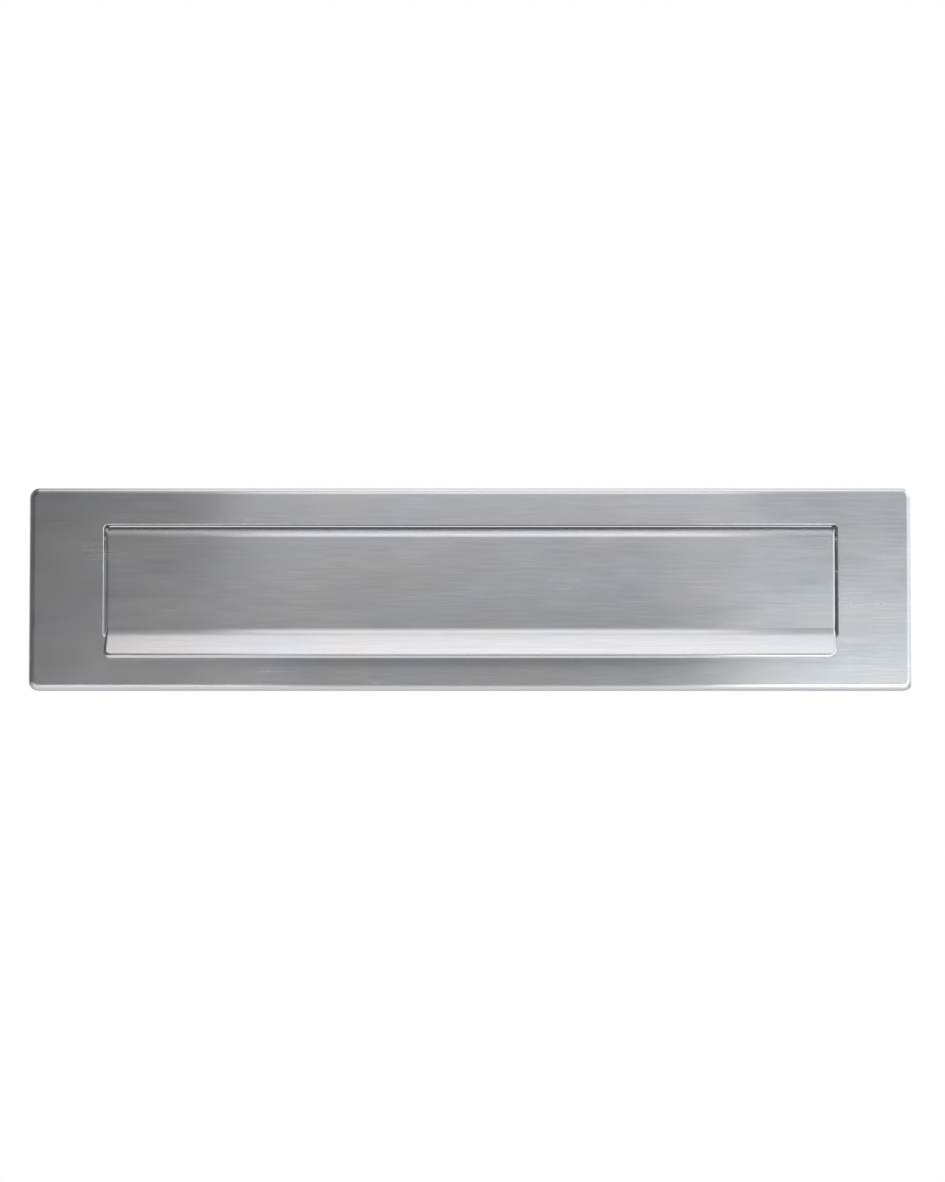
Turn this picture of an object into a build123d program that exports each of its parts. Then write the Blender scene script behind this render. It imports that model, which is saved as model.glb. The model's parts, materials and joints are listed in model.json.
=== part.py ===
from build123d import *
from math import asin, cos, degrees, radians, sin, sqrt, tan
import os

# A sprung letter plate. Millimetres, +X to the right, +Z up, the front faces -Y.
# The origin is the middle of the back rim, on the face of the door.

# ---- driving sizes: plate ---------------------------------------------------------
plate_w = 340.0
plate_h = 78.0
plate_depth = 6.0
plate_sheet = 1.2
plate_corner_r = 3.6
plate_edge_r = 2.4
wing_w = 28.9
top_rail_h = 14.2
bottom_rail_h = 20.5
aperture_corner_r = 1.4
aperture_edge_r = 0.4
liner_behind_door_face = 2.0

# ---- driving sizes: flap ----------------------------------------------------------
flap_sheet = 1.0
flap_edge_r = 1.15
flap_side_gap = 0.6
flap_top_gap = 0.5
roll_turn_deg = 285.0
lip_overlap = 8.2
lip_flare_deg = 40.0
lip_bend_r = 5.0
lip_plate_gap = 0.3
lip_return = 1.6
lip_corner_left_r = 2.6
lip_corner_right_r = 3.6
return_depth = 3.4
ear_over_roll = 0.3
roll_slit_w = 0.3
roll_slit_h = 2.1
lip_slit_w = 0.3
lip_slit_h = 2.6
lip_slit_above_bend = 1.3

# ---- driving sizes: hinge and spring ----------------------------------------------
pin_r = 1.5
pin_fit = 0.02
ear_clearance = 0.1
bush_running = 0.05
bush_in_roll = 0.02
bush_len = 12.0
bush_end_gap = 0.3
clip_face_gap = 0.1
clip_sheet = 0.4
clip_dish = 0.5
clip_gap = 0.05
clip_teeth = 6
clip_slit_w = 0.5
pin_end_beyond_clip = 0.8
wire_r = 0.35
coil_clearance = 0.15
coil_roll_gap = 1.05
coil_pitch = 0.9
coil_turns = 12
coil_end_gap = 1.6
window_open_deg = 100.0
hook_inside_roll = 0.1
hook_gap = 0.05
hook_bend = 0.6
hook_bend_r = 0.5
spring_leg_drop = 12.9
leg_bend_r = 1.2
leg_end_inside = 0.1
leg_hole_gap = 0.1
leg_notch_h = 8.2
leg_notch_above_leg = 0.95
leg_notch_front_skin = 0.5

# ---- driving sizes: fixings -------------------------------------------------------
fixing_inset = 18.0
stud_r = 2.5
thread_relief = 0.26
boss_r = 5.0
boss_below_rim = 0.6
boss_floor = 0.8
stud_in_boss_gap = 0.02
door_thickness = 44.0
thread_inside_door = 10.0
stud_beyond_nut = 7.8
washer_r = 7.5
washer_bore_gap = 0.15
washer_sheet = 1.2
nut_across_flats = 8.0
nut_h = 4.0
nut_chamfer = 0.5
nut_bore_gap = 0.05

# ---- driving sizes: soft pieces ---------------------------------------------------
gasket_w = 5.0
gasket_side_gap = 0.2
buffer_r = 1.3
buffer_lip_gap = 0.4
buffer_dome_r = 0.5
buffer_inset = 22.0
buffer_above_lip_floor = 3.4

# ---- how cuts and edges are made --------------------------------------------------
past = 1.0  # a cut runs this far past the face that it opens
near = 0.01  # an edge is picked when it lies this close to where it should be

# ---- worked-out sizes -------------------------------------------------------------
face_y = -plate_depth
aperture_w = plate_w - 2 * wing_w
aperture_h = plate_h - top_rail_h - bottom_rail_h
aperture_top = plate_h / 2 - top_rail_h
aperture_bottom = aperture_top - aperture_h
aperture_mid = (aperture_top + aperture_bottom) / 2
liner_x = aperture_w / 2
liner_back = liner_behind_door_face

flap_w = aperture_w - 2 * flap_side_gap
flap_half = flap_w / 2
flap_inner_half = flap_half - flap_sheet
flap_bottom = aperture_bottom - lip_overlap
roll_half = flap_inner_half - roll_slit_w
roll_inner_r = pin_r + coil_clearance + 2 * wire_r + coil_roll_gap
roll_r = roll_inner_r + flap_sheet
axis_y = face_y + roll_r
axis_z = aperture_top - flap_top_gap - roll_r
ear_r = roll_r + ear_over_roll

coil_r = pin_r + coil_clearance + wire_r
coil_x1 = roll_half - coil_end_gap
window_x = coil_x1 - (coil_turns + 1) * coil_pitch - coil_end_gap
spring_leg_y = axis_y - coil_r
spring_leg_z = axis_z - spring_leg_drop
spring_leg_end_x = liner_x + plate_sheet - leg_end_inside

stud_x = plate_w / 2 - fixing_inset
boss_front = face_y + plate_sheet
boss_back = -boss_below_rim
stud_front = boss_front + boss_floor
thread_r = stud_r - thread_relief
washer_y = door_thickness
nut_y = washer_y + washer_sheet
thread_start = door_thickness - thread_inside_door
stud_end = nut_y + nut_h + stud_beyond_nut


def prism(outline, x0, x1):
    """A closed outline, drawn with (y, z) points, extruded from x0 to x1."""
    return extrude(Plane.YZ.offset(x0) * make_face(outline), x1 - x0)


def along_x(radius, x0, x1, y, z):
    """A round bar along X."""
    middle = Pos((x0 + x1) / 2, y, z)
    return middle * Rot(0, 90, 0) * Cylinder(radius, x1 - x0)


def along_y(radius, y0, y1, x, z):
    """A round bar along Y."""
    middle = Pos(x, (y0 + y1) / 2, z)
    return middle * Rot(90, 0, 0) * Cylinder(radius, y1 - y0)


def slab(x0, x1, y0, y1, z0, z1):
    """A block between two corners."""
    middle = Pos((x0 + x1) / 2, (y0 + y1) / 2, (z0 + z1) / 2)
    return middle * Box(x1 - x0, y1 - y0, z1 - z0)


def round_rect_y(width, height, corner_r, y0, y1, z):
    """A block with a rounded outline, seen from the front, between two depths."""
    outline = RectangleRounded(width, height, corner_r)
    return extrude(Plane.XZ.offset(-y0) * Pos(0, z) * outline, -(y1 - y0))


def around_axis(radius, turn_deg):
    """The (y, z) point at a radius from the hinge axis, turned from the front over the top."""
    turn = radians(turn_deg)
    return (axis_y - radius * cos(turn), axis_z + radius * sin(turn))


# ---- plate ------------------------------------------------------------------------
def tray_block(inset):
    """The pressed outline of the plate, or of its inside when inset by the sheet."""
    width = plate_w - 2 * inset
    height = plate_h - 2 * inset
    corner = plate_corner_r - inset
    block = round_rect_y(width, height, corner, face_y + inset, 0, 0)
    front = block.faces().sort_by(Axis.Y)[0]
    return fillet(front.edges(), plate_edge_r - inset)


def liner_block(inset, y0, y1):
    """The rounded block inside the aperture liner, or its outside when inset is negative."""
    width = aperture_w - 2 * inset
    height = aperture_h - 2 * inset
    corner = aperture_corner_r - inset
    return round_rect_y(width, height, corner, y0, y1, aperture_mid)


def face_plate():
    """A pressed tray whose aperture edges are folded back into a liner."""
    plate = tray_block(0) - tray_block(plate_sheet)
    plate += liner_block(-plate_sheet, face_y + plate_sheet / 2, liner_back)
    plate -= liner_block(0, face_y - plate_sheet, liner_back + plate_sheet)
    front_rim = [
        edge
        for edge in plate.edges()
        if abs(edge.center().Y - face_y) < near
        and abs(edge.center().X) < liner_x + near
        and aperture_bottom - near < edge.center().Z < aperture_top + near
    ]
    plate = fillet(front_rim, aperture_edge_r)
    hole_end = liner_x + 2 * plate_sheet
    plate -= along_x(pin_r + pin_fit, -hole_end, hole_end, axis_y, axis_z)
    plate -= along_x(wire_r + leg_hole_gap, 0, hole_end, spring_leg_y, spring_leg_z)
    return plate


# ---- flap -------------------------------------------------------------------------
# The lip's bend starts just high enough for its back to clear the aperture's rounded edge.
flare = radians(lip_flare_deg)
edge_y = face_y + aperture_edge_r
edge_z = aperture_bottom - aperture_edge_r
edge_room_r = aperture_edge_r + lip_plate_gap
lip_to_edge = lip_bend_r + flap_sheet + edge_room_r
lip_start_z = edge_z + sqrt(lip_to_edge**2 - (lip_bend_r + aperture_edge_r) ** 2)
lip_centre = (face_y - lip_bend_r, lip_start_z)
lip_bend_low_z = lip_start_z - lip_bend_r * sin(flare)
lip_len = (lip_bend_low_z - flap_bottom - lip_return * sin(flare)) / cos(flare)


def in_lip(along, deep):
    """The (y, z) point this far down the flared lip from its bend, and this deep in it."""
    radius = lip_bend_r + deep
    bend_end_y = lip_centre[0] + radius * cos(flare)
    bend_end_z = lip_centre[1] - radius * sin(flare)
    return (bend_end_y - along * sin(flare), bend_end_z - along * cos(flare))


def lip_bend(deep):
    """The arc that turns the flat of the flap forward into the lip, this deep in it."""
    radius = lip_bend_r + deep
    middle_y = lip_centre[0] + radius * cos(flare / 2)
    middle_z = lip_centre[1] - radius * sin(flare / 2)
    return ThreePointArc((face_y + deep, lip_start_z), (middle_y, middle_z), in_lip(0, deep))


def pressing(inset, depth):
    """The flap below its hinge axis as a solid pressing, with its corners and rim rounded.

    Inset by the sheet and made deeper, it is the hollow behind the sheet.
    """
    half = flap_half - inset
    length = lip_len - inset
    down_front = Line((face_y + inset, axis_z), (face_y + inset, lip_start_z))
    foot = Polyline(in_lip(0, inset), in_lip(length, inset), in_lip(length, depth), in_lip(0, depth))
    up_back = Line((face_y + depth, lip_start_z), (face_y + depth, axis_z))
    top = Line((face_y + depth, axis_z), (face_y + inset, axis_z))
    outline = down_front + lip_bend(inset) + foot + lip_bend(depth) + up_back + top
    block = prism(outline, -half, half)
    foot_y, foot_z = in_lip(length, (inset + depth) / 2)
    for side, corner_r in ((-1, lip_corner_left_r), (1, lip_corner_right_r)):
        corner = block.edges().sort_by_distance((side * half, foot_y, foot_z))[0]
        block = fillet(corner, corner_r - inset)
    rim = [edge for edge in block.edges() if on_front_rim(edge, inset, half)]
    return fillet(rim, flap_edge_r - inset)


def on_front_rim(edge, inset, half):
    """Whether an edge runs round the front of the pressing, down its sides or along its foot."""
    middle = edge.position_at(0.5)
    length = lip_len - inset
    tip_y, tip_z = in_lip(length, inset)
    at_side = abs(abs(middle.X) - half) < near
    near_foot = middle.Z < tip_z + lip_corner_right_r
    if middle.Z > lip_start_z:
        on_front = abs(middle.Y - face_y - inset) < near
    elif middle.Z > in_lip(0, inset)[1]:
        from_centre = sqrt((middle.Y - lip_centre[0]) ** 2 + (middle.Z - lip_centre[1]) ** 2)
        on_front = abs(from_centre - lip_bend_r - inset) < near
    else:
        lip_y = tip_y + (middle.Z - tip_z) * tan(flare)
        on_front = abs(middle.Y - lip_y) < near
    below_top = middle.Z < axis_z - near
    return on_front and below_top and (at_side or near_foot)


def roll(turn_deg, x0, x1):
    """The flap's top edge, rolled about the hinge axis from the face over the top."""
    outer_start = around_axis(roll_r, 0)
    outer_end = around_axis(roll_r, turn_deg)
    inner_start = around_axis(roll_inner_r, 0)
    inner_end = around_axis(roll_inner_r, turn_deg)
    outline = ThreePointArc(outer_start, around_axis(roll_r, turn_deg / 2), outer_end)
    outline += Line(outer_end, inner_end)
    outline += ThreePointArc(inner_end, around_axis(roll_inner_r, turn_deg / 2), inner_start)
    outline += Line(inner_start, outer_start)
    return prism(outline, x0, x1)


def ears():
    """The round tops of the side returns, which carry the pin at both ends of the flap."""
    back = axis_y + 2 * ear_r
    block = slab(-flap_half, flap_half, face_y, back, axis_z - 2 * ear_r, axis_z + 2 * ear_r)
    front = block.edges().filter_by(Axis.Z).group_by(Axis.Y)[0]
    block = fillet(front, flap_edge_r)
    return block & along_x(ear_r, -flap_half, flap_half, axis_y, axis_z)


def round_edge(turn_deg):
    """The (y, z) point that clears the aperture's bottom edge, turned from the front upwards."""
    turn = radians(turn_deg)
    return (edge_y - edge_room_r * cos(turn), edge_z + edge_room_r * sin(turn))


def behind_lip():
    """The room that the plate needs behind the lip and below the side returns."""
    foot_y, foot_z = in_lip(lip_len, lip_return)
    lip_back_y, edge_start_z = round_edge(0)
    slope_y, slope_z = round_edge(45)
    return_y = face_y + return_depth
    return_z = slope_z + return_y - slope_y
    far_y = liner_back + plate_depth
    far_z = flap_bottom - plate_depth
    rim_top = (lip_back_y, foot_z + (lip_back_y - foot_y) / tan(flare))
    outline = Polyline((foot_y, foot_z), rim_top, (lip_back_y, edge_start_z))
    outline += ThreePointArc(round_edge(0), round_edge(22.5), round_edge(45))
    outline += Polyline(
        (slope_y, slope_z),
        (return_y, return_z),
        (far_y, return_z),
        (far_y, far_z),
        (foot_y + (foot_z - far_z) / tan(flare), far_z),
        (foot_y, foot_z),
    )
    return prism(outline, -flap_w, flap_w)


def lip_slits():
    """The narrow reliefs where the side returns end and the rim of the lip begins."""
    x0 = flap_half - flap_sheet / 2 - lip_slit_w / 2
    x1 = x0 + lip_slit_w
    z1 = lip_start_z + lip_slit_above_bend
    slit = slab(x0, x1, face_y - plate_depth, liner_back, z1 - lip_slit_h, z1)
    return slit + mirror(slit, Plane.YZ)


def leg_notch():
    """The tall notch in the right side return that lets the spring's fixed leg through."""
    z0 = spring_leg_z + leg_notch_above_leg - leg_notch_h / 2
    y0 = face_y + leg_notch_front_skin
    return slab(flap_inner_half, flap_w, y0, liner_back, z0, z0 + leg_notch_h)


def flap():
    """A pressed flap with a rolled top, side returns that end in ears, and a flared lip."""
    piece = pressing(0, return_depth) + ears()
    piece -= pressing(flap_sheet, return_depth + 2 * ear_r)
    far_y = liner_back + plate_depth
    above = axis_z + 2 * ear_r
    piece -= slab(-flap_inner_half, flap_inner_half, face_y - past, far_y, axis_z, above)
    piece -= behind_lip()
    piece -= lip_slits()
    piece -= leg_notch()
    piece += roll(roll_turn_deg, -roll_half, window_x)
    piece += roll(window_open_deg, window_x, roll_half)
    slit_turn = degrees(asin((roll_r - roll_slit_h) / roll_r))
    for x0, x1 in ((-flap_inner_half, -roll_half), (roll_half, flap_inner_half)):
        piece += roll(slit_turn, x0, x1)
    hole_r = pin_r + ear_clearance
    piece -= along_x(hole_r, -flap_w, flap_w, axis_y, axis_z)
    return piece


# ---- hinge and spring -------------------------------------------------------------
liner_outside_x = liner_x + plate_sheet
clip_x = liner_outside_x + clip_gap
pin_half = clip_x + clip_dish + clip_sheet + pin_end_beyond_clip


def hinge_pin():
    """The long pin, with a chamfer at both ends."""
    pin = along_x(pin_r, -pin_half, pin_half, axis_y, axis_z)
    ends = pin.faces().filter_by(Axis.X).edges()
    return chamfer(ends, pin_r / 5)


clip_r = roll_r - plate_sheet - clip_face_gap


def pin_clip(side):
    """A dished push-on clip with a ring of gripping teeth, outside the liner."""
    bite = pin_r + pin_fit
    rim_w = (clip_r - pin_r) / 2
    outer_x0 = clip_x
    outer_x1 = clip_x + clip_sheet
    inner_x0 = outer_x0 + clip_dish
    inner_x1 = outer_x1 + clip_dish
    outline = Polyline(
        (outer_x0, clip_r),
        (outer_x1, clip_r),
        (outer_x1, clip_r - rim_w),
        (inner_x1, bite),
        (inner_x0, bite),
        (outer_x0, clip_r - rim_w),
        close=True,
    )
    clip = revolve(make_face(outline), Axis.X)
    for tooth in range(clip_teeth):
        reach = clip_r - rim_w
        slit = slab(0, 2 * clip_x, -clip_slit_w / 2, clip_slit_w / 2, 0, reach)
        clip -= Rot(360 * tooth / clip_teeth, 0, 0) * slit
    clip = Pos(0, axis_y, axis_z) * clip
    return clip if side > 0 else mirror(clip, Plane.YZ)


def hinge_bush(x0):
    """A plain sleeve pressed into the roll, in which the pin runs."""
    sleeve = along_x(roll_inner_r - bush_in_roll, x0, x0 + bush_len, axis_y, axis_z)
    bore_r = pin_r + bush_running
    return sleeve - along_x(bore_r, x0 - past, x0 + bush_len + past, axis_y, axis_z)


# The coil winds from its fixed leg, in front of the pin, inwards along it. Its other end
# turns out into a hook, which bears on the free edge of the opened roll.
hook_lean = asin((hook_bend - wire_r - hook_gap) / (roll_r - flap_sheet / 2))
hook_turn_deg = window_open_deg - degrees(hook_lean)
wound_turns = coil_turns + hook_turn_deg / 360
coil_len = wound_turns * coil_pitch


def wire_along(path):
    """The spring's wire along a path, starting square to it."""
    return sweep(Plane(origin=path @ 0, z_dir=path % 0) * Circle(wire_r), path, is_frenet=True)


def closing_spring():
    """A torsion spring wound on the pin, with a fixed leg to the liner and a short hook."""
    seat = Plane(origin=(coil_x1, axis_y, axis_z), x_dir=(0, -1, 0), z_dir=(-1, 0, 0))
    coil = seat * Helix(coil_pitch, coil_len, coil_r)
    start = coil @ 0
    down = coil % 0 * -1
    bend = start + down * (spring_leg_drop / -down.Z)
    leg = FilletPolyline(start, bend, (spring_leg_end_x, bend.Y, bend.Z), radius=leg_bend_r)
    end = coil @ 1
    ahead = end + coil % 1 * hook_bend
    outward = Vector(0, end.Y - axis_y, end.Z - axis_z).normalized()
    hook_len = roll_r - hook_inside_roll - coil_r
    hook = FilletPolyline(end, ahead, ahead + outward * hook_len, radius=hook_bend_r)
    return wire_along(coil) + wire_along(leg) + wire_along(hook)


# ---- fixings ----------------------------------------------------------------------
def weld_boss(side):
    """A round blind boss welded behind a wing, which takes a stud."""
    x = side * stud_x
    boss = along_y(boss_r, boss_front, boss_back, x, 0)
    return boss - along_y(thread_r + stud_in_boss_gap, stud_front, boss_back + past, x, 0)


def fixing_stud(side):
    """A stud through the door, threaded at both ends, with a plain shank between them."""
    x = side * stud_x
    rod = along_y(thread_r, stud_front, stud_end, x, 0)
    tip = rod.faces().sort_by(Axis.Y)[-1]
    rod = chamfer(tip.edges(), thread_r / 4)
    return rod + along_y(stud_r, boss_back, thread_start, x, 0)


def door_washer(side):
    """A wide washer on the inner face of the door."""
    x = side * stud_x
    washer = along_y(washer_r, washer_y, washer_y + washer_sheet, x, 0)
    bore_r = stud_r + washer_bore_gap
    return washer - along_y(bore_r, washer_y - past, washer_y + washer_sheet + past, x, 0)


def fixing_nut(side):
    """A hexagon nut, with its corners chamfered by a cone at both ends."""
    x = side * stud_x
    corner_r = nut_across_flats / 2 / cos(radians(30))
    outline = RegularPolygon(corner_r, 6)
    nut = extrude(Plane.XZ.offset(-nut_y) * Pos(x, 0) * outline, -nut_h)
    blank = along_y(corner_r, nut_y, nut_y + nut_h, x, 0)
    blank = chamfer(blank.edges().filter_by(GeomType.CIRCLE), nut_chamfer / 2, nut_chamfer)
    bore = along_y(thread_r + nut_bore_gap, nut_y - past, nut_y + nut_h + past, x, 0)
    return (nut & blank) - bore


# ---- soft pieces ------------------------------------------------------------------
def weather_gasket():
    """A foam strip round the back of the tray, level with its rim."""
    width = plate_w - 2 * plate_sheet - 2 * gasket_side_gap
    height = plate_h - 2 * plate_sheet - 2 * gasket_side_gap
    front = face_y + plate_edge_r
    outer = round_rect_y(width, height, plate_corner_r - plate_sheet, front, 0, 0)
    inside_w = width - 2 * gasket_w
    inside_h = height - 2 * gasket_w
    inside = slab(-inside_w / 2, inside_w / 2, face_y, past, -inside_h / 2, inside_h / 2)
    return outer - inside


def flap_buffer(side):
    """A small rubber dot on the plate, hidden behind the lip, which it just clears."""
    x = side * (flap_half - buffer_inset)
    z = flap_bottom + flap_sheet + buffer_above_lip_floor
    bend_y, bend_z = in_lip(0, flap_sheet)
    lip_y = bend_y - (bend_z - z - buffer_r + buffer_dome_r) * tan(flare)
    dot = along_y(buffer_r, lip_y + buffer_lip_gap, face_y, x, z)
    front = dot.faces().sort_by(Axis.Y)[0]
    return fillet(front.edges(), buffer_dome_r)


os.makedirs("parts", exist_ok=True)
roll_end = roll_half - bush_end_gap
pieces = {
    "face_plate": face_plate(),
    "flap": flap(),
    "hinge_pin": hinge_pin(),
    "closing_spring": closing_spring(),
    "hinge_bush_left": hinge_bush(-roll_end),
    "hinge_bush_centre": hinge_bush(-bush_len / 2),
    "hinge_bush_right": hinge_bush(window_x - bush_end_gap - bush_len),
    "weather_gasket": weather_gasket(),
}
for side_name, side in (("left", -1), ("right", 1)):
    pieces[f"pin_clip_{side_name}"] = pin_clip(side)
    pieces[f"weld_boss_{side_name}"] = weld_boss(side)
    pieces[f"fixing_stud_{side_name}"] = fixing_stud(side)
    pieces[f"door_washer_{side_name}"] = door_washer(side)
    pieces[f"fixing_nut_{side_name}"] = fixing_nut(side)
    pieces[f"flap_buffer_{side_name}"] = flap_buffer(side)
for name, piece in pieces.items():
    export_step(piece, f"parts/{name}.step")
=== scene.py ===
import json
import math

import bpy
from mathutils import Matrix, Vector, noise


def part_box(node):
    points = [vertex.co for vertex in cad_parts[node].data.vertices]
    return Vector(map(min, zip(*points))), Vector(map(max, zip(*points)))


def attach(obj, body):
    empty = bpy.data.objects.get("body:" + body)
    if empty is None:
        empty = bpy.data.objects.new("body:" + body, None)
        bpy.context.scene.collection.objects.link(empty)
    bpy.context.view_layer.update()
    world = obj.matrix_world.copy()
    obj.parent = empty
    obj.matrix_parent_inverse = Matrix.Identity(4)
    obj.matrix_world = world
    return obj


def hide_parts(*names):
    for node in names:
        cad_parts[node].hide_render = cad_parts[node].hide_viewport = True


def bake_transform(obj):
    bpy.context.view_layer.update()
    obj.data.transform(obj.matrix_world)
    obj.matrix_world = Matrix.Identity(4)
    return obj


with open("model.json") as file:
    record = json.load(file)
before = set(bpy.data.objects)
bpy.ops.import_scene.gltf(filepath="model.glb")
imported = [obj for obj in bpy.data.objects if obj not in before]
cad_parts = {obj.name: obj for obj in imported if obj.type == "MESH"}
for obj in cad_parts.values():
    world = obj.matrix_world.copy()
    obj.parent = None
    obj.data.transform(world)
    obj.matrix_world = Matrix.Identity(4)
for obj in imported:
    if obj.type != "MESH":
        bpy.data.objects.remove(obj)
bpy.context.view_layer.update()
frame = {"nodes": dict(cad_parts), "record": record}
nodes = frame["nodes"]

# ---- driving sizes: camera and floor, in metres and degrees ------------------------
mm = 0.001
camera_distance = 1.30
camera_elevation = -3.0
camera_view_width = 0.3651
camera_aim = Vector((0.0007, 0.0, -0.0004))
camera_sensor = 36.0
camera_clip = (0.01, 50.0)
floor_z = -0.45
floor_size = 3.0
floor_patch = 0.3

# ---- driving sizes: the added pieces, in metres ------------------------------------
thread_pitch = 0.8 * mm
thread_depth = 0.42 * mm
thread_inside_door = 10 * mm
thread_steps_per_pitch = 10
thread_runout_pitches = 2
thread_flank_slope = 1.4
thread_root_flat = 0.2
stud_nose_r = 2.2 * mm
stud_tip_below_root = 0.2 * mm
stud_step = 0.02 * mm
stud_sides = 48
bead_r = 0.55 * mm
bead_ripples = 26
bead_ripple_height = 0.10
bead_unevenness = 0.08
bead_noise_scale = 3
bead_noise_shift = 90
bead_outset = 0.2 * bead_r
bead_flattening = 0.9
bead_lift = 0.3
bead_least_y = 0.02
bead_sections = 156
bead_sides = 10
gasket_w = 5.0 * mm
gasket_path_r = 2.9 * mm
gasket_path_step = 1.6 * mm
gasket_sides = 20
gasket_squareness = 0.38
gasket_skin_waves = 0.05 * mm
gasket_wave_scale = 160
gasket_joint_w = 0.8 * mm
gasket_joint_pinch = 0.12
corner_steps = 6
buffer_neck_share = 0.86
buffer_skirt_h = 0.35 * mm
buffer_sides = 40
# The width along the plate's outer edges that is lightened, as wear and as a painted highlight.
edge_wear_highlight_w = 2.6 * mm
# Heights above the flap's lowest edge, where the wear and painted highlight of its lip starts and is
# full.
lip_wear_highlight_from = 9 * mm
lip_wear_highlight_full = 1 * mm

# ---- the studio --------------------------------------------------------------------
# Angles are in degrees from straight ahead, sideways or up. A rise holds the angles where
# it starts and ends, then the light at each of them.
dark_side_ends = (-8.0, -4.0)
dark_side_loss = 0.25
far_right_rise = (12.0, 40.0, 0.0, 1.0)
far_left_rise = (-25.0, -60.0, 0.0, 0.12)
front_level = 0.01
behind_level = 0.55
behind_off_line = (12.0, 35.0)
behind_depth = (0.1, 0.6)  # the Y of the direction looked at, from 0 at the sides to 1 behind
above_rise = (2.0, 30.0, 0.0, 0.47)
above_left_share = 0.22
overhead_rise = (58.0, 80.0, 0.0, 0.92)
overhead_right_gain = 0.10
below_rise = (-9.0, -45.0, 0.0, 0.95)
below_left_share = 0.88
tint_ends = (-9.0, 9.0)
left_tint = (1.0, 0.975, 0.985, 1.0)
right_tint = (0.94, 0.97, 1.0, 1.0)
ahead = (0, 1, 0)
upwards = (0, 0, 1)


# ---- small helpers for node trees --------------------------------------------------
class Tree:
    """Short ways to add and link shader nodes."""

    def __init__(self, node_tree):
        self.tree = node_tree
        self.nodes = node_tree.nodes
        self.nodes.clear()

    def add(self, kind, values=None, **settings):
        node = self.nodes.new(kind)
        for name, value in settings.items():
            setattr(node, name, value)
        for name, value in (values or {}).items():
            self.feed(node.inputs[name], value)
        return node

    def feed(self, socket, value):
        if isinstance(value, bpy.types.NodeSocket):
            self.tree.links.new(value, socket)
        else:
            socket.default_value = value

    def maths(self, operation, *values, clamp=False):
        node = self.add("ShaderNodeMath", operation=operation, use_clamp=clamp)
        for socket, value in zip(node.inputs, values):
            self.feed(socket, value)
        return node.outputs[0]

    def total(self, first, *others):
        for other in others:
            first = self.maths("ADD", first, other)
        return first

    def weighted(self, base, *patterns):
        """A base value plus each pattern times its weight."""
        products = [self.maths("MULTIPLY", value, weight) for value, weight in patterns]
        return self.total(*products, base)

    def vectors(self, operation, *values):
        node = self.add("ShaderNodeVectorMath", operation=operation)
        for socket, value in zip(node.inputs, values):
            self.feed(socket, value)
        return node.outputs["Vector"]

    def tinted(self, colour, tone):
        node = self.add("ShaderNodeVectorMath", {"Scale": tone}, operation="SCALE")
        self.feed(node.inputs[0], colour)
        return node.outputs["Vector"]

    def remap(self, value, low, high, to_low=0.0, to_high=1.0):
        node = self.add("ShaderNodeMapRange", interpolation_type="SMOOTHSTEP")
        names = ("Value", "From Min", "From Max", "To Min", "To Max")
        for name, number in zip(names, (value, low, high, to_low, to_high)):
            self.feed(node.inputs[name], number)
        return node.outputs["Result"]

    def mix(self, share, first, second):
        node = self.add("ShaderNodeMix", data_type="RGBA")
        for index, value in ((0, share), (6, first), (7, second)):
            self.feed(node.inputs[index], value)
        return node.outputs[2]

    def noise(self, place, grain, detail=2.0):
        """Noise about zero whose grain has the given size in metres along X, Y and Z."""
        stretched = self.vectors("DIVIDE", place, grain)
        values = {"Vector": stretched, "Scale": 1.0, "Detail": detail, "Roughness": 0.55}
        return self.maths("SUBTRACT", self.add("ShaderNodeTexNoise", values).outputs[0], 0.5)

    def place(self):
        """The place on the piece in metres, which moves with it."""
        return self.add("ShaderNodeTexCoord").outputs["Object"]

    def parts_of(self, vector):
        return self.add("ShaderNodeSeparateXYZ", {"Vector": vector}).outputs

    def bump(self, height, distance, strength=1.0):
        values = {"Strength": strength, "Distance": distance, "Height": height}
        return self.add("ShaderNodeBump", values).outputs[0]

    def finish(self, shader):
        output = self.add("ShaderNodeOutputMaterial")
        self.feed(output.inputs["Surface"], shader.outputs[0])


def new_material(name):
    material = bpy.data.materials.new(name)
    material.use_nodes = True
    return material, Tree(material.node_tree)


def grey(value):
    return (value, value, value, 1.0)


def even(size):
    """A grain of the same size along X, Y and Z."""
    return (size, size, size)


# ---- metals ------------------------------------------------------------------------
# A tone or a roughness named after a pattern is how far that pattern changes it.
fine_brushing = (14 * mm, 3 * mm, 0.42 * mm)
long_brushing = (90 * mm, 6 * mm, 1.3 * mm)
handling_marks = (26 * mm, 20 * mm, 11 * mm)
warm_patches = (38 * mm, 30 * mm, 17 * mm)
brushing_depth = 0.0012 * mm
brushed_one_way = 0.89
streak_tone = 0.24
long_streak_tone = 0.12
mark_tone = 0.07
# How far the edge mask lightens the steel: wear, and a painted highlight.
edge_wear_highlight_tone = 0.03
satin_roughness = 0.26
streak_roughness = 0.03
mark_roughness = 0.05
edge_roughness = -0.03
warm_steel = (0.612, 0.600, 0.598, 1.0)
cool_steel = (0.594, 0.603, 0.622, 1.0)


def across_grain(t):
    """The direction on the surface that runs across a grain laid along the piece's X."""
    turned_x = t.add("ShaderNodeVectorTransform", vector_type="VECTOR", convert_from="OBJECT",
                     convert_to="WORLD")
    turned_x.inputs[0].default_value = (1.0, 0.0, 0.0)
    normal = t.add("ShaderNodeNewGeometry").outputs["Normal"]
    across = t.vectors("CROSS_PRODUCT", normal, turned_x.outputs[0])
    return t.vectors("ADD", across, (0.0, 0.0, 0.001))


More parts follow.
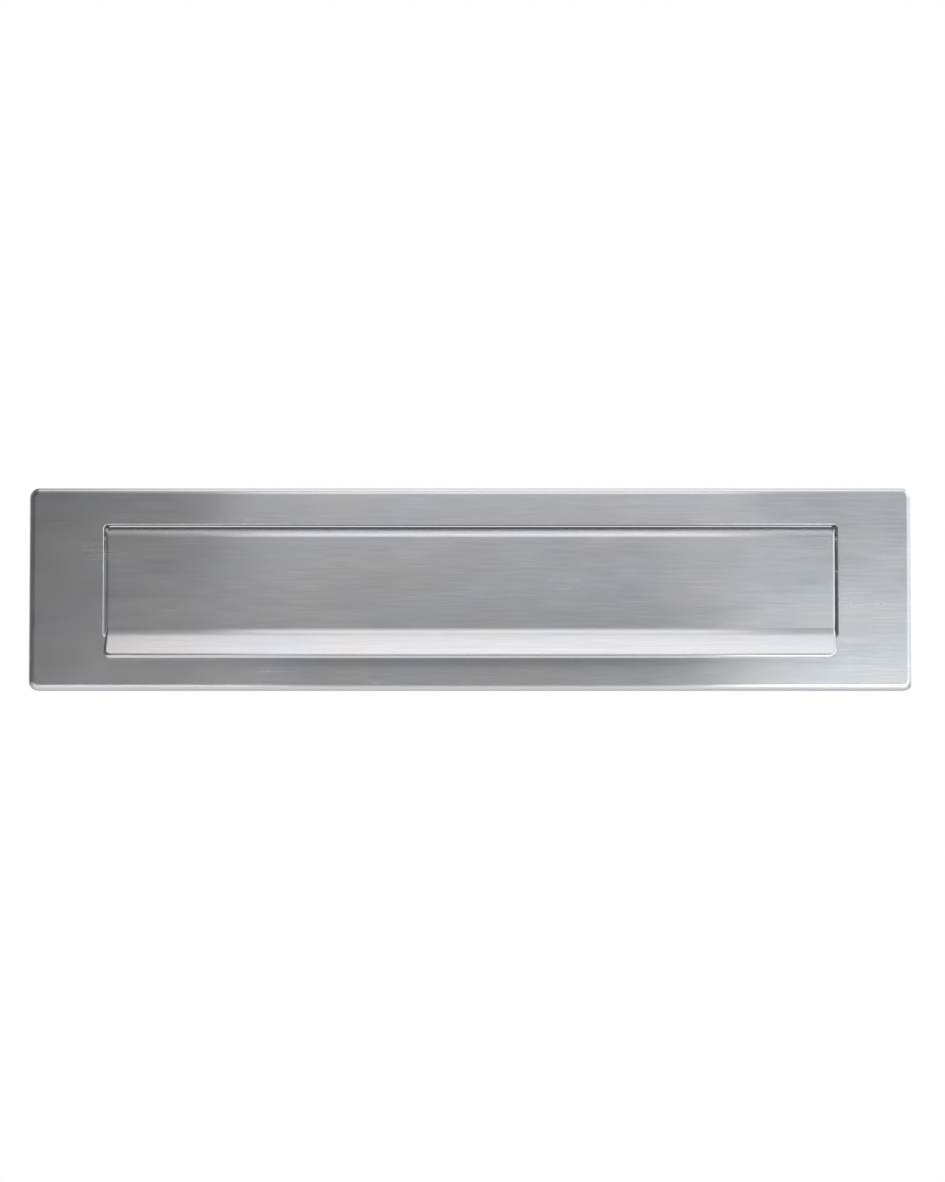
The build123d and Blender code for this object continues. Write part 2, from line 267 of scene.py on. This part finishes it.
def satin_steel(name, wear_and_highlight_mask):
    """Stainless steel brushed along X: fine streaks, faint handling marks, and edges lightened as
    wear and as a painted highlight.
    """
    material, t = new_material(name)
    place = t.place()
    streaks = t.noise(place, fine_brushing, detail=3.0)
    long_streaks = t.noise(place, long_brushing, detail=2.0)
    marks = t.noise(place, handling_marks, detail=3.0)
    warmth = t.noise(place, warm_patches, detail=1.0)
    edge = wear_and_highlight_mask(t, place)
    # The edge mask lightens the colour: wear, and a painted highlight along the plate's edges and
    # the flap's lip.
    tone = t.weighted(
        1.0,
        (streaks, streak_tone),
        (long_streaks, long_streak_tone),
        (marks, mark_tone),
        (edge, edge_wear_highlight_tone),
    )
    cool = t.remap(warmth, -0.18, 0.18)
    colour = t.tinted(t.mix(cool, warm_steel, cool_steel), tone)
    rough = t.weighted(
        satin_roughness,
        (streaks, streak_roughness),
        (marks, mark_roughness),
        (edge, edge_roughness),
    )
    shader = t.add("ShaderNodeBsdfPrincipled", {"Metallic": 1.0, "Anisotropic": brushed_one_way})
    t.feed(shader.inputs["Base Color"], colour)
    t.feed(shader.inputs["Roughness"], rough)
    t.feed(shader.inputs["Normal"], t.bump(t.total(streaks, long_streaks), brushing_depth))
    t.feed(shader.inputs["Tangent"], across_grain(t))
    t.finish(shader)
    return material


def wear_and_highlight_plate(t, place):
    """One along the plate's outer edges, zero inside them: where the steel is lightened, as wear and
    as a painted highlight.
    """
    x, _, z = t.parts_of(place)
    _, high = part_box("face_plate")
    at_ends = t.remap(t.maths("ABSOLUTE", x), high.x - edge_wear_highlight_w, high.x)
    at_sides = t.remap(t.maths("ABSOLUTE", z), high.z - edge_wear_highlight_w, high.z)
    return t.maths("MAXIMUM", at_ends, at_sides)


def wear_and_highlight_flap(t, place):
    """One along the lip, where fingers lift the flap, fading out above it; this lightens the steel
    as wear and as a painted highlight.
    """
    z = t.parts_of(place)[2]
    low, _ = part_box("flap")
    patchy_wear_highlight = t.noise(place, (18 * mm, 10 * mm, 8 * mm), detail=2.0)
    lip = t.remap(z, low.z + lip_wear_highlight_from, low.z + lip_wear_highlight_full)
    return t.maths("MULTIPLY", lip, t.maths("ADD", patchy_wear_highlight, 0.6), clamp=True)


def plain_metal(name, colour, roughness, grain, streak=0.06, bump=0.001 * mm, blotch=0.05):
    """A bare or plated metal with its own grain, and patches that shine a little differently."""
    material, t = new_material(name)
    place = t.place()
    fine = t.noise(place, grain, detail=4.0)
    patches = t.noise(place, even(3 * mm), detail=2.0)
    tone = t.weighted(1.0, (fine, streak), (patches, blotch))
    rough = t.weighted(roughness, (fine, 0.12), (patches, 0.15))
    shader = t.add("ShaderNodeBsdfPrincipled", {"Metallic": 1.0})
    t.feed(shader.inputs["Base Color"], t.tinted(colour, tone))
    t.feed(shader.inputs["Roughness"], rough)
    t.feed(shader.inputs["Normal"], t.bump(fine, bump))
    t.finish(shader)
    return material


def weld_metal(name):
    """A weld bead: rippled, with straw and blue heat colours."""
    material, t = new_material(name)
    place = t.place()
    heat = t.noise(place, (1.6 * mm, 1.0 * mm, 1.6 * mm), detail=2.0)
    straw = (0.50, 0.40, 0.27, 1.0)
    blue = (0.32, 0.34, 0.45, 1.0)
    colour = t.mix(t.remap(heat, -0.2, 0.2), straw, blue)
    grain = t.noise(place, even(0.2 * mm), detail=3.0)
    shader = t.add("ShaderNodeBsdfPrincipled", {"Metallic": 1.0})
    t.feed(shader.inputs["Base Color"], t.tinted(colour, t.maths("ADD", grain, 1.0)))
    t.feed(shader.inputs["Roughness"], t.weighted(0.42, (grain, 0.2)))
    t.feed(shader.inputs["Normal"], t.bump(grain, 0.02 * mm))
    t.finish(shader)
    return material


# ---- plastics ----------------------------------------------------------------------
def moulded(name, colour, second, roughness, grain, bump, scatter=0.0):
    """A moulded or foamed material, mottled between two colours."""
    material, t = new_material(name)
    place = t.place()
    mottle = t.noise(place, even(1.5 * mm), detail=3.0)
    skin = t.noise(place, even(grain), detail=4.0)
    shader = t.add("ShaderNodeBsdfPrincipled", {"Subsurface Weight": scatter})
    shader.inputs["Subsurface Scale"].default_value = 1 * mm
    t.feed(shader.inputs["Base Color"], t.mix(t.remap(mottle, -0.25, 0.25), colour, second))
    t.feed(shader.inputs["Roughness"], t.weighted(roughness, (skin, 0.25)))
    t.feed(shader.inputs["Normal"], t.bump(skin, bump))
    t.finish(shader)
    return material


def foam(name):
    """Closed-cell foam: a dark skin full of small cells, their pits painted darker as shade."""
    material, t = new_material(name)
    place = t.place()
    cell = 0.55 * mm
    cells = t.add("ShaderNodeTexVoronoi", {"Vector": place, "Scale": 1 / cell})
    depth = t.remap(cells.outputs["Distance"], 0.1, 0.75)
    dust = t.noise(place, even(4 * mm), detail=3.0)
    # The pits of the cells get a darker colour: painted shade in the hollows.
    shaded_cell_pits = (0.030, 0.030, 0.032, 1.0)
    between_cells = (0.085, 0.086, 0.09, 1.0)
    colour = t.mix(depth, shaded_cell_pits, between_cells)
    tone = t.weighted(1.0, (dust, 0.5))
    shader = t.add("ShaderNodeBsdfPrincipled")
    t.feed(shader.inputs["Base Color"], t.tinted(colour, tone))
    t.feed(shader.inputs["Roughness"], t.weighted(0.85, (dust, 0.2)))
    t.feed(shader.inputs["Normal"], t.bump(depth, 0.12 * mm))
    t.finish(shader)
    return material


# The grain of turned metal runs round a line along Y, and that of drawn bar along X.
turned_grain = (0.06 * mm, 2 * mm, 0.06 * mm)
drawn_grain = (3 * mm, 0.05 * mm, 0.05 * mm)
fine_grain = even(0.25 * mm)
bar_grey = (0.56, 0.56, 0.57)
wire_grey = (0.50, 0.50, 0.51)
strip_grey = (0.40, 0.41, 0.44)
boss_grey = (0.55, 0.55, 0.56)
zinc_grey = (0.66, 0.675, 0.665)
nylon_colours = ((0.80, 0.78, 0.70, 1.0), (0.86, 0.85, 0.79, 1.0))
rubber_colours = ((0.022, 0.022, 0.024, 1.0), (0.05, 0.049, 0.048, 1.0))
finishes = {
    "plate_steel": satin_steel("plate_steel", wear_and_highlight_plate),
    "flap_steel": satin_steel("flap_steel", wear_and_highlight_flap),
    "pin_steel": plain_metal("pin_steel", bar_grey, 0.22, drawn_grain),
    "spring_wire": plain_metal("spring_wire", wire_grey, 0.24, fine_grain, bump=0.004 * mm),
    "clip_steel": plain_metal("clip_steel", strip_grey, 0.32, fine_grain, streak=0.15),
    "boss_steel": plain_metal("boss_steel", boss_grey, 0.34, turned_grain, bump=0.004 * mm),
    "zinc_steel": plain_metal(
        "zinc_steel", zinc_grey, 0.30, fine_grain, streak=0.1, bump=0.006 * mm, blotch=0.18
    ),
    "nylon": moulded("nylon", *nylon_colours, 0.42, 0.3 * mm, 0.01 * mm, scatter=0.35),
    "buffer_rubber": moulded("buffer_rubber", *rubber_colours, 0.62, 0.12 * mm, 0.02 * mm),
    "gasket_foam": foam("gasket_foam"),
}
weld_finish = weld_metal("weld_metal")
slot_of = {part["node"]: part["material_slot"] for part in frame["record"]["subparts"]}
for name, node in nodes.items():
    for index in range(len(node.data.materials)):
        node.data.materials[index] = finishes[slot_of[name]]


# ---- new pieces --------------------------------------------------------------------
def new_piece(name, points, faces, finish, sharp_deg=35.0):
    mesh = bpy.data.meshes.new(name)
    mesh.from_pydata(points, [], faces)
    mesh.polygons.foreach_set("use_smooth", [True] * len(mesh.polygons))
    mesh.set_sharp_from_angle(angle=math.radians(sharp_deg))
    mesh.materials.append(finish)
    mesh.update()
    piece = bpy.data.objects.new(name, mesh)
    bpy.context.scene.collection.objects.link(piece)
    return piece


def rings_to_faces(rings, around_count, closed=False):
    """Quads between rings of points, with flat caps, or joined end to end when closed."""
    faces = []
    for ring in range(rings if closed else rings - 1):
        below = ring * around_count
        above = (ring + 1) % rings * around_count
        for step in range(around_count):
            after = (step + 1) % around_count
            faces.append((below + step, below + after, above + after, above + step))
    if not closed:
        faces.append(tuple(reversed(range(around_count))))
        faces.append(tuple(range((rings - 1) * around_count, rings * around_count)))
    return faces


def ring_on_y(middle, y, radii):
    """Points round a line along Y through a middle, one for each radius."""
    points = []
    for step, r in enumerate(radii):
        angle = 2 * math.pi * step / len(radii)
        points.append((middle.x + r * math.cos(angle), y, middle.z - r * math.sin(angle)))
    return points


def steps_between(first, last, step):
    count = max(1, round((last - first) / step))
    return [first + (last - first) * index / count for index in range(count + 1)]


def threaded_stud(side):
    """The stud with its shoulder, its plain shank and a rolled thread with a chamfered tip."""
    node = f"fixing_stud_{side}"
    low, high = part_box(node)
    boss_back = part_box(f"weld_boss_{side}")[1].y
    thread_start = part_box(f"door_washer_{side}")[0].y - thread_inside_door
    shank_r = (high.z - low.z) / 2
    tip_r = shank_r - thread_depth - stud_tip_below_root

    def radius(y, turn):
        if y < boss_back + stud_step / 2:
            return stud_nose_r
        if y < thread_start:
            return shank_r
        pitches = (y - thread_start) / thread_pitch
        crest = abs(2 * ((pitches - turn) % 1.0) - 1)
        cut = thread_depth * min(1.0, pitches / thread_runout_pitches)
        rise = max(0.0, min(1.0, thread_flank_slope * crest - thread_root_flat))
        groove = shank_r - cut * (1 - rise)
        return min(groove, tip_r + (high.y - y))

    rows = [low.y, boss_back, boss_back + stud_step, thread_start - stud_step]
    rows += steps_between(thread_start, high.y, thread_pitch / thread_steps_per_pitch)
    middle = (low + high) / 2
    points = []
    for y in rows:
        points += ring_on_y(middle, y, [radius(y, step / stud_sides) for step in range(stud_sides)])
    faces = rings_to_faces(len(rows), stud_sides)
    piece = new_piece(f"threaded_stud_{side}", points, faces, finishes["zinc_steel"])
    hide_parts(node)
    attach(piece, "plate")


def weld_bead(side):
    """A rippled fillet weld round the foot of the boss."""
    low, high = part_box(f"weld_boss_{side}")
    boss_r = (high.z - low.z) / 2
    middle = (low + high) / 2
    points = []
    for step in range(bead_sections):
        turn = step / bead_sections
        round_boss = 2 * math.pi * turn
        swell = 1 + bead_ripple_height * math.cos(bead_ripples * round_boss)
        seed = (math.cos(round_boss) * bead_noise_scale, middle.x * bead_noise_shift, turn)
        swell += bead_unevenness * noise.noise(Vector(seed))
        for side_step in range(bead_sides):
            angle = 2 * math.pi * side_step / bead_sides
            r = boss_r + bead_outset + bead_r * swell * math.cos(angle)
            depth = swell * math.sin(angle) * bead_flattening + bead_lift
            y = low.y + bead_r * max(bead_least_y, depth)
            x = middle.x + r * math.cos(round_boss)
            z = middle.z - r * math.sin(round_boss)
            points.append((x, y, z))
    faces = rings_to_faces(bead_sections, bead_sides, closed=True)
    piece = new_piece(f"weld_bead_{side}", points, faces, weld_finish, 60.0)
    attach(piece, "plate")


def gasket_path(half_w, half_h):
    """The middle line of the foam strip: each place on it, and the way outwards there."""
    path = []
    corners = ((1, -1), (1, 1), (-1, 1), (-1, -1))
    for index, (side_x, side_z) in enumerate(corners):
        centre = Vector((side_x * (half_w - gasket_path_r), 0.0, side_z * (half_h - gasket_path_r)))
        for step in range(corner_steps + 1):
            angle = math.radians(90 * (index - 1 + step / corner_steps))
            outward = Vector((math.cos(angle), 0.0, math.sin(angle)))
            path.append((centre + outward * gasket_path_r, outward))
        along_top = index % 2 == 1
        run = 2 * ((half_w if along_top else half_h) - gasket_path_r)
        start, outward = path[-1]
        onward = Vector((-outward.z, 0.0, outward.x))
        count = int(run / gasket_path_step)
        for step in range(1, count):
            path.append((start + onward * (run * step / count), outward))
    return path


def foam_gasket():
    """The foam strip: soft-edged, a little uneven, and butted at the middle of the bottom."""
    low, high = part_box("weather_gasket")
    half_w = high.x - gasket_w / 2
    half_h = high.z - gasket_w / 2
    half_depth = (high.y - low.y) / 2
    mid_y = (high.y + low.y) / 2
    joint = Vector((0.0, 0.0, -half_h))
    path = gasket_path(half_w, half_h)
    points = []
    for place, outward in path:
        from_joint = (place - joint).length / gasket_joint_w
        pinch = 1 - gasket_joint_pinch * math.exp(-(from_joint**2))
        for step in range(gasket_sides):
            angle = 2 * math.pi * step / gasket_sides
            c = math.cos(angle)
            s = math.sin(angle)
            across = math.copysign(abs(c) ** gasket_squareness, c) * gasket_w / 2
            deep = math.copysign(abs(s) ** gasket_squareness, s) * half_depth
            wave = noise.noise(place * gasket_wave_scale + Vector((c, s, c * s)))
            soft = 1 + (wave - 1) * gasket_skin_waves / half_depth
            shrink = min(1.0, soft) * pinch
            point = place + outward * (across * shrink)
            points.append((point.x, mid_y + deep * shrink, point.z))
    faces = rings_to_faces(len(path), gasket_sides, closed=True)
    piece = new_piece("foam_gasket", points, faces, finishes["gasket_foam"], 80.0)
    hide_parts("weather_gasket")
    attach(piece, "plate")


def rubber_buffer(side):
    """A moulded rubber dot with a thin skirt and a domed top."""
    node = f"flap_buffer_{side}"
    low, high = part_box(node)
    middle = (low + high) / 2
    foot_r = (high.x - low.x) / 2
    height = high.y - low.y
    neck_r = foot_r * buffer_neck_share
    dome = ((0.12, 1.0), (0.45, 0.985), (0.72, 0.94), (0.90, 0.84), (0.985, 0.72), (1.0, 0.6))
    profile = [(neck_r * share, height * rise) for share, rise in dome]
    profile += [(neck_r, buffer_skirt_h * 1.6), (neck_r * 1.03, buffer_skirt_h)]
    profile += [(foot_r * 0.97, buffer_skirt_h * 0.8), (foot_r, buffer_skirt_h * 0.5), (foot_r, 0.0)]
    points = []
    for r, above_plate in profile:
        points += ring_on_y(middle, high.y - above_plate, [r] * buffer_sides)
    faces = rings_to_faces(len(profile), buffer_sides)
    finish = finishes["buffer_rubber"]
    piece = new_piece(f"rubber_buffer_{side}", points, faces, finish, 60.0)
    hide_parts(node)
    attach(piece, "plate")


def wound_spring():
    """A copy of the closing spring, which on the real plate winds up between its fixed leg and its
    hook as the flap opens; here it keeps the CAD part's shape.
    """
    mesh = nodes["closing_spring"].data.copy()
    mesh.name = "wound_spring"
    piece = bpy.data.objects.new("wound_spring", mesh)
    bpy.context.scene.collection.objects.link(piece)
    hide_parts("closing_spring")
    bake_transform(piece)


for side in ("left", "right"):
    threaded_stud(side)
    weld_bead(side)
    rubber_buffer(side)
foam_gasket()
wound_spring()


# ---- studio ------------------------------------------------------------------------
def studio_light():
    """A light tent that is bright above and below, dim in front, and darker to the left.

    The camera alone sees it as plain white.
    """
    world = bpy.data.worlds.new("studio")
    bpy.context.scene.world = world
    world.use_nodes = True
    t = Tree(world.node_tree)
    x, y, z = t.parts_of(t.add("ShaderNodeTexCoord").outputs["Generated"])
    to_degrees = 180 / math.pi
    aside = t.maths("MULTIPLY", t.maths("ARCSINE", x), to_degrees)
    elevation = t.maths("MULTIPLY", t.maths("ARCSINE", z), to_degrees)
    from_left = t.remap(aside, *dark_side_ends)
    off_line = t.remap(t.maths("ABSOLUTE", aside), *behind_off_line)
    behind = t.maths("MULTIPLY", t.remap(y, *behind_depth, 0.0, behind_level), off_line)
    level = t.total(
        t.maths("MULTIPLY", from_left, dark_side_loss),
        t.remap(aside, *far_right_rise),
        t.remap(aside, *far_left_rise),
        behind,
        front_level,
    )
    above_share = t.weighted(above_left_share, (from_left, 1 - above_left_share))
    above = t.maths("MULTIPLY", t.remap(elevation, *above_rise), above_share)
    overhead_share = t.weighted(1.0, (from_left, overhead_right_gain))
    overhead = t.maths("MULTIPLY", t.remap(elevation, *overhead_rise), overhead_share)
    below_share = t.weighted(below_left_share, (from_left, 1 - below_left_share))
    below = t.maths("MULTIPLY", t.remap(elevation, *below_rise), below_share)
    tint = t.mix(t.remap(aside, *tint_ends), left_tint, right_tint)
    light = t.tinted(tint, t.total(level, above, overhead, below))
    seen = t.add("ShaderNodeLightPath").outputs["Is Camera Ray"]
    background = t.add("ShaderNodeBackground", {"Color": t.mix(seen, light, grey(1.0))})
    output = t.add("ShaderNodeOutputWorld")
    t.feed(output.inputs["Surface"], background.outputs[0])


def softbox(name, place, facing, width, height, power, colour):
    """A soft rectangular lamp, its power in watts, that faces the given way."""
    data = bpy.data.lights.new(name, "AREA")
    data.shape = "RECTANGLE"
    data.size = width
    data.size_y = height
    data.energy = power
    data.color = colour
    lamp = bpy.data.objects.new(name, data)
    bpy.context.scene.collection.objects.link(lamp)
    lamp.location = place
    lamp.rotation_mode = "QUATERNION"
    lamp.rotation_quaternion = Vector(facing).to_track_quat("-Z", "Y")
    lamp.visible_camera = False


def studio_floor():
    """A plain pale floor, well below the plate."""
    half = floor_size / 2
    sides = ((-1, -1), (1, -1), (1, 1), (-1, 1))
    corners = [(half * side_x, half * side_y, floor_z) for side_x, side_y in sides]
    mesh = bpy.data.meshes.new("floor")
    mesh.from_pydata(corners, [], [(0, 1, 2, 3)])
    floor = bpy.data.objects.new("floor", mesh)
    bpy.context.scene.collection.objects.link(floor)
    material, t = new_material("floor")
    patch = t.noise(t.place(), even(floor_patch))
    colour = t.mix(t.remap(patch, -0.3, 0.3), grey(0.80), grey(0.84))
    t.finish(t.add("ShaderNodeBsdfPrincipled", {"Base Color": colour, "Roughness": 0.7}))
    mesh.materials.append(material)


def studio_camera():
    """The camera, straight in front of the plate and a little below it."""
    data = bpy.data.cameras.new("camera")
    data.sensor_fit = "HORIZONTAL"
    data.sensor_width = camera_sensor
    data.lens = camera_sensor * camera_distance / camera_view_width
    camera = bpy.data.objects.new("camera", data)
    bpy.context.scene.collection.objects.link(camera)
    tilt = math.radians(camera_elevation)
    back = Vector((0.0, -math.cos(tilt), math.sin(tilt)))
    camera.location = camera_aim + back * camera_distance
    camera.rotation_mode = "QUATERNION"
    camera.rotation_quaternion = (-back).to_track_quat("-Z", "Y")
    data.clip_start, data.clip_end = camera_clip
    bpy.context.scene.camera = camera


studio_light()
softbox("low_right", (0.308, -0.40, -0.20), ahead, width=0.35, height=0.24, power=0.80,
        colour=(0.92, 0.97, 1.0))
softbox("low_left", (-0.30, -0.40, -0.22), ahead, width=0.40, height=0.14, power=0.24,
        colour=(1.0, 0.98, 0.98))
softbox("top_middle", (0.01, -0.30, 0.21), ahead, width=0.25, height=0.25, power=0.18,
        colour=(0.96, 0.975, 1.0))
softbox("floor_card", (0.05, -0.31, -0.43), upwards, width=1.10, height=0.60, power=0.5,
        colour=(1.0, 1.0, 0.99))
studio_floor()
studio_camera()
bpy.context.scene.view_settings.view_transform = "Standard"
